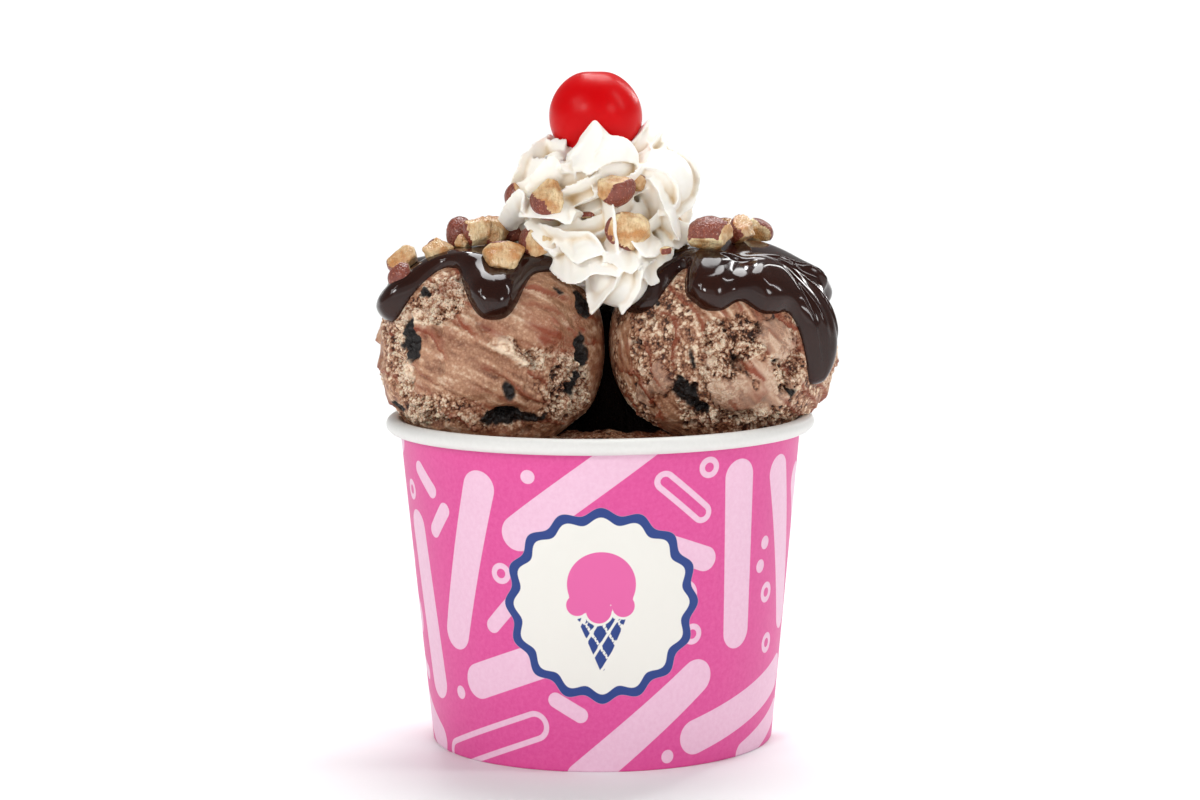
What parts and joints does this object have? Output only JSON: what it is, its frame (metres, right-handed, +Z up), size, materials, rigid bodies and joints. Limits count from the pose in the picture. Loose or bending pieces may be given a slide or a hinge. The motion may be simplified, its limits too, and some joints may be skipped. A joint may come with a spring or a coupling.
{
  "type": "ice cream sundae",
  "caption": "Two scoops of chocolate ice cream in a paper cup, with fudge sauce, whipped cream, chopped almonds and a cherry.",
  "frame": {"origin": "on the floor, in the middle of the whole outline seen from above; the cup's axis is 2.2 mm towards -X", "axes": "+Z up along the cup's axis, -Y towards the viewer, +X to the viewer's right, from the left scoop to the right one"},
  "size_m": [0.1015, 0.095, 0.148],
  "materials": {
    "cup_paper": "coated paperboard, printed pink outside, white rim and inside",
    "cup_base_paper": "uncoated white paperboard",
    "ice_cream": "scraped and crumbly frozen surface",
    "fudge": "thick glossy sauce",
    "whipped_cream": "soft satin foam",
    "cherry": "wet glossy fruit skin",
    "almond": "chopped toasted nut with brown skin"
  },
  "bodies": {
    "root": {"cup_wall": "cup_paper", "cup_base": "cup_base_paper", "packed_ice_cream": "ice_cream", "scoop_left": "ice_cream", "scoop_right": "ice_cream", "fudge_left": "fudge", "fudge_right": "fudge", "whipped_cream": "whipped_cream", "cherry": "cherry"}
  },
  "joints": []
}
